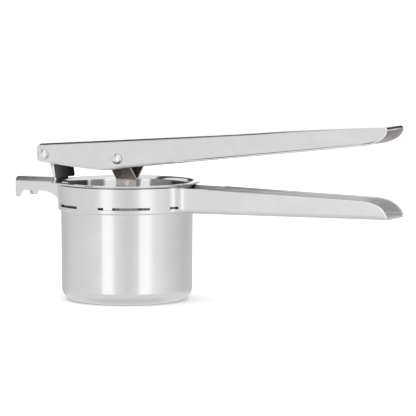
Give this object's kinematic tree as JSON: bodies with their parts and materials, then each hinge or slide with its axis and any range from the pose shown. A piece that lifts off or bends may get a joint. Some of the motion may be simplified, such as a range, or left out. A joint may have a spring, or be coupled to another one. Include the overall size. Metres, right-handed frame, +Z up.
{
  "type": "potato ricer",
  "caption": "Lever press: a handle pushes a disc down a perforated cup that hangs in a ring on the lower handle, with a hooked rest for a pot's edge.",
  "frame": {"origin": "centre of the basket's underside, on the surface it stands on", "axes": "+X towards the handle ends, +Z up along the basket, +Y across the handles"},
  "size_m": [0.2581, 0.0936, 0.1148],
  "materials": {
    "polished_steel": "mirror polished stainless sheet",
    "handle_steel": "polished stainless sheet with faint lengthwise polishing lines",
    "rivet_steel": "polished rivet heads",
    "plunger_steel": "polished stainless, slightly darker"
  },
  "bodies": {
    "frame": {"basket": "polished_steel", "lower_frame": "handle_steel", "pot_rest": "handle_steel", "pivot_bracket": "polished_steel", "bracket_rivet_near": "rivet_steel", "bracket_rivet_far": "rivet_steel"},
    "handle": {"upper_handle": "handle_steel", "pivot_rivet": "rivet_steel", "plunger_rivet": "rivet_steel"},
    "plunger": {"plunger_strap_near": "plunger_steel", "plunger_strap_far": "plunger_steel", "plunger_disc": "plunger_steel", "foot_rivet_1": "rivet_steel", "foot_rivet_2": "rivet_steel", "foot_rivet_3": "rivet_steel", "foot_rivet_4": "rivet_steel"}
  },
  "joints": [
    {"name": "handle_pivot", "type": "hinge", "parent": "frame", "child": "handle", "pos_m": [-0.0522, 0, 0.0914], "axis": [0, -1, 0], "range_deg": [0, 45]},
    {"name": "plunger_swing", "type": "hinge", "parent": "handle", "child": "plunger", "pos_m": [0.0002, 0, 0.0903], "axis": [0, -1, 0], "range_deg": [-34.65, 0]}
  ],
  "couplings": [
    {"joint": "plunger_swing", "follows": "handle_pivot", "ratio": -0.77}
  ]
}
